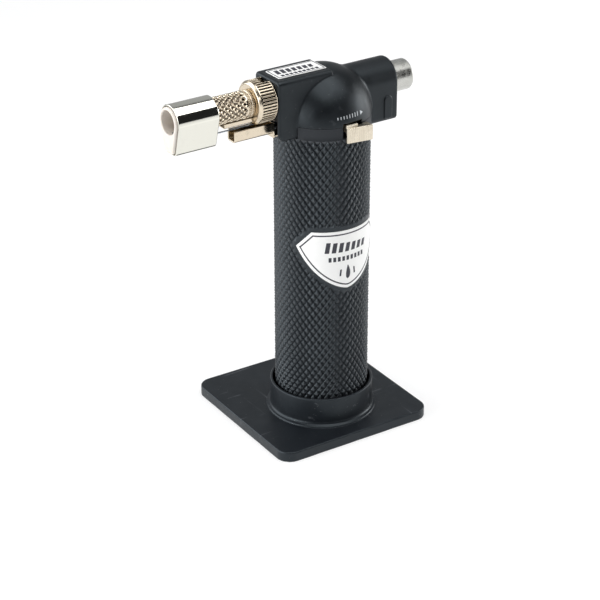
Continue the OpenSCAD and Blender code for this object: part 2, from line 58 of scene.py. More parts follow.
def middle_z(node):
    """Height of a CAD node's middle, which is its axis for the pieces that lie along X."""
    lo, hi = cad(node)
    return (lo[2] + hi[2]) / 2


# ---------------------------------------------------------------- distance fields

def length(*parts):
    return np.sqrt(sum(p * p for p in parts))


def meet(a, b, r=0.0):
    """Both solids at once, with the edge between them rounded to radius r."""
    if not r:
        return np.maximum(a, b)
    u, v = np.maximum(r + a, 0), np.maximum(r + b, 0)
    return np.minimum(-r, np.maximum(a, b)) + np.sqrt(u * u + v * v)


def join(a, b, r=0.0):
    """Either solid, with a fillet of radius r between them."""
    return -meet(-a, -b, r)


def carve(a, b, r=0.0):
    """The first solid without the second."""
    return meet(a, -b, r)


def between(v, lo, hi):
    return np.maximum(lo - v, v - hi)


def block(x, y, z, lo, hi, r=0.0):
    """Box from corner lo to corner hi with edges rounded to r."""
    half = [(h - l) / 2 - r for l, h in zip(lo, hi)]
    q = [np.abs(c - (l + h) / 2) - s for c, l, h, s in zip((x, y, z), lo, hi, half)]
    outside = length(*[np.maximum(c, 0) for c in q])
    return outside + np.minimum(np.maximum(np.maximum(q[0], q[1]), q[2]), 0) - r


def plate_outline(u, v, half, r):
    """Square of half side `half` with corner radius r."""
    qu, qv = np.abs(u) - half + r, np.abs(v) - half + r
    return length(np.maximum(qu, 0), np.maximum(qv, 0)) + np.minimum(np.maximum(qu, qv), 0) - r


def tapered_bar(u, v, a, b, ra, rb):
    """Hull of two discs, at a with radius ra and at b with radius rb."""
    pu, pv = b[0] - a[0], b[1] - a[1]
    h = pu * pu + pv * pv
    du, dv = u - a[0], v - a[1]
    q1 = np.abs(du * pv - dv * pu) / h
    q2 = (du * pu + dv * pv) / h
    d = ra - rb
    c1, c2 = math.sqrt(h - d * d), d
    k = c1 * q2 - c2 * q1
    m = c1 * q1 + c2 * q2
    n = q1 * q1 + q2 * q2
    ends = np.where(k < 0, np.sqrt(h * n) - ra, np.sqrt(np.maximum(h * (n + 1 - 2 * q2), 0)) - rb)
    return np.where((k < 0) | (k > c1), ends, m - ra)


def rod(x, y, z, a, b, r):
    """Round bar between two points, with round ends."""
    a, d = np.array(a, float), np.array(b, float) - np.array(a, float)
    t = np.clip(((x - a[0]) * d[0] + (y - a[1]) * d[1] + (z - a[2]) * d[2]) / (d @ d), 0, 1)
    return length(x - a[0] - t * d[0], y - a[1] - t * d[1], z - a[2] - t * d[2]) - r


# ---------------------------------------------------------------- mesh building

def add_mesh(name, verts, faces, normals=None):
    """A new object from millimetre vertices and equal-sided faces."""
    verts, faces = np.asarray(verts, float), np.asarray(faces, np.int32)
    mesh = bpy.data.meshes.new(name)
    mesh.vertices.add(len(verts))
    mesh.vertices.foreach_set("co", (verts * MM).astype(np.float32).ravel())
    mesh.loops.add(faces.size)
    mesh.loops.foreach_set("vertex_index", faces.ravel())
    mesh.polygons.add(len(faces))
    mesh.polygons.foreach_set("loop_start", np.arange(0, faces.size, faces.shape[1], dtype=np.int32))
    mesh.polygons.foreach_set("use_smooth", np.ones(len(faces), bool))
    mesh.update(calc_edges=True)
    mesh.validate()
    if normals is not None:
        mesh.normals_split_custom_set_from_vertices(normals.astype(np.float32).tolist())
    obj = bpy.data.objects.new(name, mesh)
    bpy.context.scene.collection.objects.link(obj)
    return obj


def slope(field, p, eps=0.004):
    """Direction in which the field grows at each point, and its size."""
    g = np.empty_like(p)
    for k in range(3):
        step = np.zeros(3)
        step[k] = eps
        g[:, k] = (field(*(p + step).T) - field(*(p - step).T)) / (2 * eps)
    return g, np.maximum(np.linalg.norm(g, axis=1), 1e-6)


def mesh_field(name, field, lo, hi, step):
    """Surface nets: a closed quad mesh on the field's zero level, pulled exactly onto it."""
    lo, hi = np.array(lo, float) - 2 * step, np.array(hi, float) + 2 * step
    count = np.ceil((hi - lo) / step).astype(int) + 1
    axes = [lo[k] + step * np.arange(count[k]) for k in range(3)]
    grid = np.meshgrid(*axes, indexing="ij", sparse=True)
    value = np.broadcast_to(field(*grid), tuple(count)).copy()
    inside = value < 0
    n = count - 1
    filled = np.zeros(tuple(n), np.int8)
    for c in range(8):
        o = (c & 1, c >> 1 & 1, c >> 2 & 1)
        filled += inside[tuple(slice(s, s + m) for s, m in zip(o, n))]
    cells = np.argwhere((filled > 0) & (filled < 8))
    label = np.full(tuple(n), -1, np.int64)
    label[tuple(cells.T)] = np.arange(len(cells))
    total, hits = np.zeros((len(cells), 3)), np.zeros(len(cells))
    for axis in range(3):
        others = [k for k in range(3) if k != axis]
        for c in range(4):
            start = np.zeros(3, int)
            start[others[0]], start[others[1]] = c & 1, c >> 1
            end = start.copy()
            end[axis] = 1
            a, b = value[tuple((cells + start).T)], value[tuple((cells + end).T)]
            crossed = (a < 0) != (b < 0)
            t = np.where(crossed, a / np.where(crossed, a - b, 1), 0)
            point = np.tile(start.astype(float), (len(cells), 1))
            point[:, axis] = t
            total += point * crossed[:, None]
            hits += crossed
    p = lo + step * (cells + total / hits[:, None])
    for _ in range(3):
        g, size = slope(field, p)
        move = np.clip(field(*p.T) / size, -0.5 * step, 0.5 * step)
        p -= g / size[:, None] * move[:, None]
    quads = []
    for axis in range(3):
        u, v = (axis + 1) % 3, (axis + 2) % 3
        here = [slice(None)] * 3
        there = [slice(None)] * 3
        here[axis], there[axis] = slice(None, -1), slice(1, None)
        a, b = inside[tuple(here)], inside[tuple(there)]
        e = np.argwhere(a != b)
        e = e[(e[:, u] > 0) & (e[:, v] > 0) & (e[:, u] < n[u]) & (e[:, v] < n[v])]
        du, dv = np.eye(3, dtype=int)[u], np.eye(3, dtype=int)[v]
        ring = np.stack([label[tuple((e - s).T)] for s in (0 * du, du, du + dv, dv)], 1)
        outward = a[tuple(e.T)]
        quads.append(np.where(outward[:, None], ring, ring[:, ::-1]))
    g, size = slope(field, p)
    return add_mesh(name, p, np.concatenate(quads), g / size[:, None])


def closed_sheet(low, high, wrap=False):
    """Vertices and quads of a thin closed solid between two (n, m, 3) grids.

    With wrap, the first row follows the last.
    """
    n, m = low.shape[:2]
    verts = np.concatenate([low.reshape(-1, 3), high.reshape(-1, 3)])
    top = n * m
    faces = []
    rows = n if wrap else n - 1
    for i in range(rows):
        a, b = i * m, (i + 1) % n * m
        for j in range(m - 1):
            faces.append([top + a + j, top + b + j, top + b + j + 1, top + a + j + 1])
            faces.append([a + j, a + j + 1, b + j + 1, b + j])
        faces.append([a, b, top + b, top + a])
        faces.append([a + m - 1, top + a + m - 1, top + b + m - 1, b + m - 1])
    if not wrap:
        for j in range(m - 1):
            faces.append([j, top + j, top + j + 1, j + 1])
            a = (n - 1) * m + j
            faces.append([a, a + 1, top + a + 1, top + a])
    return verts, faces


def marks(name, shapes, place, low, high):
    """One object of raised printed shapes; place(u, v, lift) maps the flat drawing onto the surface."""
    verts, faces, base = [], [], 0
    for grid, wrap in shapes:
        u, v = grid[..., 0], grid[..., 1]
        vs, fs = closed_sheet(place(u, v, low), place(u, v, high), wrap)
        verts.append(vs)
        faces.append(np.array(fs) + base)
        base += len(vs)
    obj = add_mesh(name, np.concatenate(verts), np.concatenate(faces))
    obj.data.polygons.foreach_set("use_smooth", np.zeros(len(obj.data.polygons), bool))
    return obj


def bar_shape(u1, v1, u2, v2, lean=0.0, cells=0.7):
    """Parallelogram between two corners, leaning by `lean` in u over its height."""
    nu, nv = max(2, int(abs(u2 - u1) / cells) + 2), max(2, int(abs(v2 - v1) / cells) + 2)
    s, t = np.meshgrid(np.linspace(0, 1, nu), np.linspace(0, 1, nv), indexing="ij")
    return np.stack([u1 + (u2 - u1) * s + lean * t, v1 + (v2 - v1) * t], -1), False


def outline_band(points, d1, d2):
    """Band that follows a closed outline between the inward offsets d1 and d2."""
    p = np.array(points, float)
    before, after = p - np.roll(p, 1, 0), np.roll(p, -1, 0) - p
    n1 = np.stack([-before[:, 1], before[:, 0]], 1) / np.linalg.norm(before, axis=1)[:, None]
    n2 = np.stack([-after[:, 1], after[:, 0]], 1) / np.linalg.norm(after, axis=1)[:, None]
    mid = n1 + n2
    mid /= np.maximum((mid * n1).sum(1), 0.6)[:, None]
    return np.stack([p + mid * d1, p + mid * d2], 1), True


def drop_shape(u, v, w, h, rows=14):
    """Flame drop, w wide and h high, standing on (u, v)."""
    t = np.linspace(0.001, 0.999, rows)
    half = w * 0.98 * np.sqrt(t) * (1 - t) ** 0.9
    s = np.linspace(-1, 1, 5)
    across = u + half[:, None] * s + 0.10 * w * np.sin(3 * t)[:, None]
    up = v + h * t[:, None] + 0 * s
    return np.stack([across, up], -1)[::-1], False


# ---------------------------------------------------------------- materials

BRUSH_X, BRUSH_Z = (0.04, 1, 1), (1, 1, 0.04)


class Look:
    """A procedural material on a Principled shader, with coordinates in millimetres."""

    def __init__(self, name, color, roughness=0.5, metallic=0.0):
        self.mat = bpy.data.materials.new(name)
        self.mat.use_nodes = True
        self.tree = self.mat.node_tree
        self.shader = self.tree.nodes["Principled BSDF"]
        self.set("Metallic", metallic)
        self.set("Base Color", (*color, 1))
        self.set("Roughness", roughness)
        self.color = self.rgb(color)
        self.place = self.add("ShaderNodeTexCoord").outputs["Object"]
        self.rough = None
        self.height = None

    def add(self, kind, **props):
        node = self.tree.nodes.new(kind)
        for key, value in props.items():
            setattr(node, key, value)
        return node

    def link(self, source, target):
        self.tree.links.new(source, target)

    def set(self, socket, value):
        self.shader.inputs[socket].default_value = value

    def feed(self, node, index, value):
        if isinstance(value, bpy.types.NodeSocket):
            self.link(value, node.inputs[index])
        else:
            node.inputs[index].default_value = value

    def rgb(self, color):
        node = self.add("ShaderNodeRGB")
        node.outputs[0].default_value = (*color, 1)
        return node.outputs[0]

    def scaled(self, stretch):
        node = self.add("ShaderNodeVectorMath", operation="MULTIPLY")
        self.link(self.place, node.inputs[0])
        node.inputs[1].default_value = tuple(s / MM for s in stretch)
        return node.outputs[0]

    def noise(self, scale, detail=3.0, stretch=(1, 1, 1), rough=0.55):
        """Noise with `scale` waves per millimetre."""
        node = self.add("ShaderNodeTexNoise")
        self.link(self.scaled(stretch), node.inputs["Vector"])
        node.inputs["Scale"].default_value = scale
        node.inputs["Detail"].default_value = detail
        node.inputs["Roughness"].default_value = rough
        return node.outputs[0]

    def spots(self, scale, size):
        """1 inside small round spots, 0 elsewhere."""
        node = self.add("ShaderNodeTexVoronoi")
        self.link(self.scaled((1, 1, 1)), node.inputs["Vector"])
        node.inputs["Scale"].default_value = scale
        return self.band(node.outputs["Distance"], size, size * 0.55)

    def band(self, value, lo, hi, out_lo=0.0, out_hi=1.0):
        node = self.add("ShaderNodeMapRange", interpolation_type="SMOOTHSTEP")
        for i, v in enumerate((value, lo, hi, out_lo, out_hi)):
            self.feed(node, i, v)
        return node.outputs[0]

    def math(self, operation, a, b=0.0):
        node = self.add("ShaderNodeMath", operation=operation)
        self.feed(node, 0, a)
        self.feed(node, 1, b)
        return node.outputs[0]

    def blend(self, factor, a, b):
        node = self.add("ShaderNodeMix", data_type="RGBA")
        self.feed(node, 0, factor)
        self.feed(node, 6, a)
        self.feed(node, 7, b)
        return node.outputs[2]

    def tint(self, factor, color):
        """Moves the base colour towards a colour by a factor."""
        self.color = self.blend(factor, self.color, self.rgb(color))

    def edges(self, lo=0.52, hi=0.60):
        """1 on outward edges of a dense mesh."""
        return self.band(self.add("ShaderNodeNewGeometry").outputs["Pointiness"], lo, hi)

    def hollows(self, lo=0.42, hi=0.492):
        """1 in grooves of a dense mesh."""
        return self.band(self.add("ShaderNodeNewGeometry").outputs["Pointiness"], hi, lo)

    def bump(self, height, distance, strength=1.0):
        """Adds a bump layer whose full height is `distance` millimetres."""
        node = self.add("ShaderNodeBump")
        node.inputs["Strength"].default_value = strength
        node.inputs["Distance"].default_value = distance * MM
        self.link(height, node.inputs["Height"])
        if self.height is not None:
            self.link(self.height, node.inputs["Normal"])
        self.height = node.outputs[0]

    def axis(self, index):
        """One coordinate of the point, in millimetres."""
        node = self.add("ShaderNodeSeparateXYZ")
        self.link(self.scaled((1, 1, 1)), node.inputs[0])
        return node.outputs[index]

    def done(self):
        self.link(self.color, self.shader.inputs["Base Color"])
        if self.rough is not None:
            self.link(self.rough, self.shader.inputs["Roughness"])
        if self.height is not None:
            self.link(self.height, self.shader.inputs["Normal"])
        return self.mat


COOL = (0.80, 0.92, 1.0, 1)  # sheen of the black plastics
# Pale grey for scratches and worn edges; on the edges it is also painted highlight.
PLASTIC_WEAR_AND_HIGHLIGHT = (0.09, 0.095, 0.105)
# Warm stain colour; darkened, it also gives the painted shade in metal grooves.
WARM_STAIN_AND_SHADE = (0.30, 0.25, 0.18)


def plastic(name, color, rough, grain=0.010, dust=0.5, scratch=0.5, gloss=0.5):
    """Moulded plastic: fine grain, soft mottling, dust specks, fine scratches, and edges lightened as polish
    and as painted highlight.
    """
    m = Look(name, color, rough)
    mottle = m.noise(0.09, 4)
    m.tint(m.band(mottle, 0.35, 0.75, 0.0, 0.5), [c * 1.5 for c in color])
    lengthwise = m.band(m.noise(0.5, 2, (1, 0.04, 1)), 0.66, 0.70)
    lengthwise = m.math("MULTIPLY", lengthwise, m.band(m.noise(0.05, 2), 0.45, 0.6))
    crosswise = m.band(m.noise(0.45, 2, (0.05, 1, 0.4)), 0.67, 0.71)
    crosswise = m.math("MULTIPLY", crosswise, m.band(m.noise(0.07, 2), 0.5, 0.6))
    marked = m.math("MULTIPLY", m.math("MAXIMUM", lengthwise, crosswise), scratch)
    m.tint(marked, PLASTIC_WEAR_AND_HIGHLIGHT)
    m.tint(m.math("MULTIPLY", m.spots(0.55, 0.07), dust), (0.35, 0.34, 0.32))
    # Edges lightened: partly wear, partly painted highlight.
    m.tint(m.math("MULTIPLY", m.edges(), 0.35), PLASTIC_WEAR_AND_HIGHLIGHT)
    cloudy = m.band(m.noise(0.16, 4), 0.3, 0.7, rough - 0.05, rough + 0.07)
    m.rough = m.math("ADD", cloudy, m.math("MULTIPLY", marked, 0.15))
    m.bump(m.noise(5.5, 2), grain)
    m.bump(m.noise(0.12, 2), 0.02)
    m.set("Specular IOR Level", gloss)
    m.set("Specular Tint", COOL)
    return m.done()


def metal(name, color, rough, brush=(1, 1, 1), brush_scale=3.0, brush_depth=0.004,
          stain=0.35, stain_and_shade_color=WARM_STAIN_AND_SHADE, groove_shade=0.0, ribs=None):
    """Plated or bare metal: brush lines, cloudy stains, pits, edges lightened as wear and as painted
    highlight, painted shade in the grooves.

    For a ring with ribs along X, ribs holds its axis height, the radii where the painted shade in its
    grooves is full and where it ends, and where the ribs start.
    """
    m = Look(name, color, rough, 1.0)
    # Painted shade: grooves and hollows tinted near black.
    m.tint(m.math("MULTIPLY", m.hollows(), groove_shade), [c * 0.08 for c in stain_and_shade_color])
    m.tint(m.math("MULTIPLY", m.band(m.noise(0.28, 5), 0.52, 0.78), stain), stain_and_shade_color)
    m.tint(m.math("MULTIPLY", m.spots(0.8, 0.10), 0.45), stain_and_shade_color)
    # Edges lightened: partly worn plating, partly painted highlight.
    m.tint(m.math("MULTIPLY", m.edges(), 0.5), [min(1, c * 1.12) for c in color])
    # Painted shade: the ring's grooves darker the deeper they go, behind the front lip.
    if ribs:
        axis_z, dark_r, unshaded_r, start_x = ribs
        up = m.math("SUBTRACT", m.axis(2), axis_z)
        across = m.math("MULTIPLY", m.axis(1), m.axis(1))
        rho = m.math("SQRT", m.math("ADD", across, m.math("MULTIPLY", up, up)))
        behind_lip = m.band(m.axis(0), start_x, start_x + 0.3)
        groove_shade_mask = m.math("MULTIPLY", m.band(rho, unshaded_r, dark_r), behind_lip)
        m.tint(m.math("MULTIPLY", groove_shade_mask, 0.9), [c * 0.08 for c in stain_and_shade_color])
    grooves = m.noise(brush_scale, 3, brush)
    cloudy = m.band(m.noise(0.4, 4), 0.3, 0.7, rough * 0.75, rough * 1.35)
    m.rough = m.math("ADD", cloudy, m.band(grooves, 0.4, 0.7, 0.0, 0.06))
    m.bump(grooves, brush_depth)
    m.bump(m.noise(0.5, 3), 0.010)
    return m.done()


def wire_look():
    """Spring wire with a near-black tip, painted shade that makes the wire's hole in the nozzle mouth read
    dark.
    """
    m = Look("wire_steel", (0.42, 0.48, 0.56), 0.3, 1.0)
    # Painted shade: the last millimetres of the tip turned near black.
    m.tint(m.band(m.axis(0), -65.5, -67.0), (0.010, 0.010, 0.012))
    m.tint(m.band(m.noise(0.6, 4), 0.45, 0.75, 0, 0.5), (0.24, 0.26, 0.30))
    m.rough = m.band(m.noise(1.0, 3), 0.3, 0.7, 0.22, 0.42)
    m.bump(m.noise(4, 2, BRUSH_X), 0.003)
    return m.done()


def rubber(name, color, rough=0.6):
    m = Look(name, color, rough)
    m.tint(m.band(m.noise(0.8, 4), 0.4, 0.8, 0, 0.4), [c * 2 for c in color])
    m.rough = m.band(m.noise(1.5, 3), 0.3, 0.7, rough - 0.08, rough + 0.08)
    m.bump(m.noise(6, 2), 0.01)
    return m.done()


def grip_look():
    """Matte knurled grip: a little paler on the peaks, partly as wear and partly as painted highlight, dusty
    in the grooves.
    """
    m = Look("grip_matte", (0.0065, 0.0075, 0.0095), 0.30)
    m.tint(m.band(m.noise(0.05, 3), 0.35, 0.7, 0, 0.5), (0.012, 0.014, 0.017))
    # Peaks lightened: partly wear, partly painted highlight.
    m.tint(m.math("MULTIPLY", m.edges(0.50, 0.58), 0.55), (0.085, 0.088, 0.095))
    m.tint(m.math("MULTIPLY", m.spots(0.35, 0.06), 0.5), (0.30, 0.29, 0.28))
    m.rough = m.band(m.noise(0.2, 4), 0.3, 0.7, 0.27, 0.38)
    m.bump(m.noise(4.5, 3), 0.010)
    m.set("Specular Tint", COOL)
    return m.done()


def ceramic_look():
    m = Look("ceramic_white", (0.72, 0.67, 0.61), 0.42)
    near_bore = m.band(m.axis(0), -68.0, -58.0)
    m.tint(m.math("MULTIPLY", near_bore, m.band(m.noise(0.5, 4), 0.3, 0.7, 0.1, 0.35)), (0.55, 0.45, 0.38))
    m.tint(m.math("MULTIPLY", m.spots(1.1, 0.09), 0.35), (0.35, 0.28, 0.22))
    m.tint(m.band(m.noise(0.25, 4), 0.5, 0.8, 0, 0.3), (0.62, 0.55, 0.49))
    m.rough = m.band(m.noise(0.8, 4), 0.3, 0.7, 0.34, 0.52)
    m.bump(m.noise(4, 4), 0.012)
    m.set("Subsurface Weight", 0.12)
    m.set("Subsurface Radius", (0.9 * MM, 0.7 * MM, 0.5 * MM))
    return m.done()


def print_look(name, color, rough):
    """Printed film: faint paper grain and small wear marks."""
    m = Look(name, color, rough)
    m.tint(m.band(m.noise(0.3, 5), 0.5, 0.8, 0, 0.25), [c * 0.86 for c in color])
    m.tint(m.math("MULTIPLY", m.spots(0.6, 0.06), 0.5), (0.45, 0.44, 0.42))
    m.rough = m.band(m.noise(0.9, 3), 0.3, 0.7, rough - 0.06, rough + 0.08)
    m.bump(m.noise(3.0, 2), 0.006)
    return m.done()


RING_LO, RING_HI = cad("air_ring")
RING_R = RING_HI[1]
RING_AXIS_Z = (RING_LO[2] + RING_HI[2]) / 2

LOOKS = {
    "stand_plastic": plastic("stand_plastic", (0.0080, 0.0098, 0.0125), 0.36,
                             grain=0.006, dust=0.55, scratch=0.6, gloss=0.38),
    "head_plastic": plastic("head_plastic", (0.0040, 0.0048, 0.0060), 0.40,
                            grain=0.012, dust=0.25, scratch=0.15, gloss=0.42),
    # A slightly darker, duller copy of the head plastic for the recessed base ring; the darker colour is
    # painted shade.
    "base_plastic": plastic("base_plastic", (0.0035, 0.0042, 0.0052), 0.48,
                            grain=0.012, dust=0.2, scratch=0.1, gloss=0.15),
    "inner_plastic": plastic("inner_plastic", (0.030, 0.033, 0.040), 0.5, dust=0.0, scratch=0.1),
    "grip_rubber": grip_look(),
    # groove_shade sets how strongly grooves and holes are painted dark as shade.
    "nickel": metal("nickel", (0.70, 0.61, 0.48), 0.15, groove_shade=0.92),
    "nickel_ring": metal("nickel_ring", (0.70, 0.61, 0.48), 0.15, groove_shade=0.92,
                         ribs=(RING_AXIS_Z, RING_R - 0.50, RING_R - 0.12, RING_LO[0] + 1.15)),
    "nickel_lined": metal("nickel_lined", (0.74, 0.67, 0.55), 0.30, BRUSH_Z, 5.0, 0.012, groove_shade=0.5),
    "shroud_chrome": metal("shroud_chrome", (0.76, 0.75, 0.68), 0.06, BRUSH_X, 4.0, 0.0012,
                           0.10, (0.55, 0.52, 0.48)),
    "button_steel": metal("button_steel", (0.54, 0.54, 0.51), 0.28, BRUSH_X, 5.0, 0.008,
                          0.2, (0.40, 0.39, 0.36)),
    "spring_steel": metal("spring_steel", (0.60, 0.62, 0.65), 0.28, BRUSH_X, 4.0, 0.003,
                          0.2, (0.25, 0.24, 0.24)),
    "wire_steel": wire_look(),
    "tank_metal": metal("tank_metal", (0.70, 0.70, 0.70), 0.35, BRUSH_Z, 3.0, 0.006, 0.2),
    "valve_brass": metal("valve_brass", (0.78, 0.58, 0.28), 0.28, BRUSH_Z, 4.0, 0.005,
                         0.35, (0.32, 0.20, 0.08)),
    "hot_metal": metal("hot_metal", (0.50, 0.44, 0.38), 0.40, BRUSH_X, 3.0, 0.006, 0.6, (0.12, 0.10, 0.12)),
    "seal_rubber": rubber("seal_rubber", (0.018, 0.018, 0.019)),
    "lead_sleeve": rubber("lead_sleeve", (0.32, 0.03, 0.03), 0.4),
    "ceramic": ceramic_look(),
    "badge_print": print_look("badge_print", (0.92, 0.92, 0.91), 0.42),
    "ink": print_look("ink", (0.030, 0.030, 0.042), 0.45),
    "legend_ink": print_look("legend_ink", (0.52, 0.55, 0.58), 0.5),
}


def finish_piece(obj, look, body, *nodes):
    """Gives a new piece its material and body, and hides the CAD nodes it stands for."""
    obj.data.materials.clear()
    obj.data.materials.append(LOOKS[look])
    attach(obj, body)
    if nodes:
        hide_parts(*nodes)
    return obj


# ---------------------------------------------------------------- stand

def make_stand():
    lo, hi = cad("stand")
    rim = hi[2]
    plate_t, collar_r, corner, side = 4.35, 20.8, 6.0, 35.0
    turn = math.radians(-1.4)
    cx, cy = (lo[0] + hi[0]) / 2, (lo[1] + hi[1]) / 2
    grip_r = cad("grip_sleeve")[1][0]

    def field(x, y, z):
        u = (x - cx) * math.cos(turn) + (y - cy) * math.sin(turn)
        v = -(x - cx) * math.sin(turn) + (y - cy) * math.cos(turn)
        plate = meet(plate_outline(u, v, side, corner), z - plate_t, 0.55)
        plate = meet(plate, -z, 0.3)
        rho = length(x, y)
        collar = meet(meet(rho - collar_r, z - rim, 0.40), 1.0 - z)
        foot = meet(meet(rho - collar_r - 1.45, z - plate_t - 0.55, 0.5), 1.0 - z)
        solid = join(plate, join(collar, foot, 1.5), 0.15)
        socket = meet(rho - grip_r - 0.08, plate_t - z)
        mouth = meet(rho - collar_r + 1.05, 10.0 - z)
        return carve(solid, join(socket, mouth), 0.25)

    obj = mesh_field("stand_moulding", field, lo, hi, 0.42)
    finish_piece(obj, "stand_plastic", "stand", "stand")


# ---------------------------------------------------------------- grip

BADGE_TURN = math.radians(-2.5)
BADGE_REACH, BADGE_SHOULDER, BADGE_TOP_REACH = 63.3, 82.7, 44.2


def badge_half():
    """Half of the badge's outline, as in the CAD: [angle in degrees, height] from the tip to the top."""
    lo, hi = cad("grip_badge")
    rows = []
    for t in np.linspace(0, 1, 17):
        rows.append([BADGE_REACH * t, lo[2] + (BADGE_SHOULDER - lo[2]) * t ** (1.55 + 0.5 * t)])
    for t in np.linspace(0, 1, 5)[1:]:
        angle = BADGE_REACH + (BADGE_TOP_REACH - BADGE_REACH) * t
        rows.append([angle, BADGE_SHOULDER + (hi[2] - BADGE_SHOULDER) * t])
    return np.array(rows)


def resample(points, step=0.8):
    """The same closed outline with a point at least every `step` millimetres."""
    out = []
    for a, b in zip(points, np.roll(points, -1, 0)):
        n = max(1, int(np.ceil(np.linalg.norm(b - a) / step)))
        out += [a + (b - a) * k / n for k in range(n)]
    return np.array(out)


def badge_outline(radius):
    """Closed outline in the unrolled plane: arc millimetres from the centre line, height."""
    half = badge_half()
    half = np.stack([np.radians(half[:, 0]) * radius, half[:, 1]], 1)
    top = half[-1]
    across = [[top[0] * s, top[1]] for s in np.linspace(1, -1, 13)[1:-1]]
    left = half[:0:-1] * [-1, 1]
    return resample(np.concatenate([half, across, left]))


def on_grip(radius):
    """Maps the badge's flat drawing onto the grip."""
    def place(u, v, lift):
        angle = u / radius + BADGE_TURN
        r = radius + lift
        return np.stack([r * np.sin(angle), -r * np.cos(angle), v + 0 * u], -1)
    return place


def outline_distance(u, v, points):
    """Signed distance from points to a closed outline, negative inside."""
    best, inside = np.full(u.shape, 1e9), np.zeros(u.shape, bool)
    for a, b in zip(points, np.roll(points, -1, 0)):
        d = b - a
        t = np.clip(((u - a[0]) * d[0] + (v - a[1]) * d[1]) / (d @ d), 0, 1)
        best = np.minimum(best, length(u - a[0] - t * d[0], v - a[1] - t * d[1]))
        if a[1] != b[1]:
            crosses = (a[1] > v) != (b[1] > v)
            inside ^= crosses & (u < a[0] + (v - a[1]) * d[0] / d[1])
    return np.where(inside, -best, best)


def make_grip():
    """Diamond-knurled sleeve with a smooth pad round the badge."""
    lo, hi = cad("grip_sleeve")
    peak, inner = hi[0], 17.45
    depth, starts, pitch_z, per = 0.60, 43, 3.75, 6
    cols = starts * per
    rows = int(round((hi[2] - lo[2]) / pitch_z * per))
    i, j = np.meshgrid(np.arange(rows + 1), np.arange(cols), indexing="ij")
    theta = 2 * math.pi * j / cols
    z = lo[2] + (hi[2] - lo[2]) * i / rows
    a = (i + j) % per / per
    b = (i - j) % per / per
    pyramid = 2 * np.minimum(np.minimum(a, 1 - a), np.minimum(b, 1 - b))
    height = 0.65 * pyramid + 0.35 * (1.06 * pyramid / (0.06 + pyramid))  # a little fuller than a pyramid
    r = peak - depth * (1 - height)
    from_badge = theta + math.pi / 2 - BADGE_TURN
    arc = np.arctan2(np.sin(from_badge), np.cos(from_badge)) * peak
    gap = outline_distance(arc, z, badge_outline(peak))
    pad = np.clip((2.1 - gap) / 0.45, 0, 1)
    r = r * (1 - pad) + (peak - 0.04) * pad
    ends = np.clip(np.minimum(z - lo[2], hi[2] - z) / 0.5, 0, 1)
    r = np.minimum(r, peak - 0.25 * (1 - ends))
    outer = np.stack([r * np.cos(theta), r * np.sin(theta), z], -1)
    wall = np.stack([inner * np.cos(theta), inner * np.sin(theta), z], -1)[[0, -1]]
    verts = np.concatenate([outer.reshape(-1, 3), wall.reshape(-1, 3)])
    label = np.arange((rows + 1) * cols).reshape(rows + 1, cols)
    nxt = np.roll(label, -1, 1)
    p00, p01, p10, p11 = label[:-1], nxt[:-1], label[1:], nxt[1:]
    flat = r.ravel()
    first = (flat[p00] + flat[p11]) <= (flat[p01] + flat[p10])
    t1 = np.where(first[..., None], np.stack([p00, p01, p11], -1), np.stack([p00, p01, p10], -1))
    t2 = np.where(first[..., None], np.stack([p00, p11, p10], -1), np.stack([p01, p11, p10], -1))
    w = (rows + 1) * cols + np.arange(2 * cols).reshape(2, cols)
    wn = np.roll(w, -1, 1)
    rim = [np.stack(s, -1) for s in (
        (w[0], wn[0], nxt[0]), (w[0], nxt[0], label[0]),
        (label[-1], nxt[-1], wn[1]), (label[-1], wn[1], w[1]),
        (w[1], wn[1], wn[0]), (w[1], wn[0], w[0]))]
    faces = np.concatenate([t1.reshape(-1, 3), t2.reshape(-1, 3), *rim])
    obj = add_mesh("grip_knurl", verts, faces)
    obj.data.polygons.foreach_set("use_smooth", np.zeros(len(obj.data.polygons), bool))
    finish_piece(obj, "grip_rubber", "torch", "grip_sleeve")


def make_badge():
    inner_r, outer_r = 18.88, 19.08
    rows = badge_half()
    z = rows[:, 1]
    half = np.radians(rows[:, 0]) * outer_r
    half[0] = 0.25
    s = np.linspace(-1, 1, 61)
    grid = np.stack([half[:, None] * s, z[:, None] + 0 * s], -1)[::-1]
    place = on_grip(outer_r)
    back = place(grid[..., 0], grid[..., 1], inner_r - outer_r)
    front = place(grid[..., 0], grid[..., 1], 0.0)
    verts, faces = closed_sheet(back, front)
    obj = add_mesh("badge_plate", verts, faces)
    obj.data.polygons.foreach_set("use_smooth", np.zeros(len(obj.data.polygons), bool))
    finish_piece(obj, "badge_print", "torch", "grip_badge")

    outline = badge_outline(outer_r)
    shapes = [outline_band(outline, 1.15, 1.70)]
    for k in range(7):  # leaning blocks of falling height
        u = -9.6 + 2.75 * k
        shapes.append(bar_shape(u, 80.4, u + 1.75, 84.9 - 0.28 * k, 0.7))
    for k in range(9):  # a row of small squares
        u = -8.0 + 1.85 * k
        shapes.append(bar_shape(u, 76.6, u + 1.15, 78.5, 0.0))
    shapes.append(drop_shape(0, 68.6, 2.4, 6.0))
    shapes.append(bar_shape(-3.6, 70.2, -2.9, 73.0, 0.3))
    shapes.append(bar_shape(2.9, 70.2, 3.6, 73.0, -0.3))
    obj = marks("badge_marks", shapes, place, -0.05, 0.025)
    finish_piece(obj, "ink", "torch")


# ---------------------------------------------------------------- head

SEAM_Z, DOME_R, COVER_IN = 131.8, 18.95, 17.35


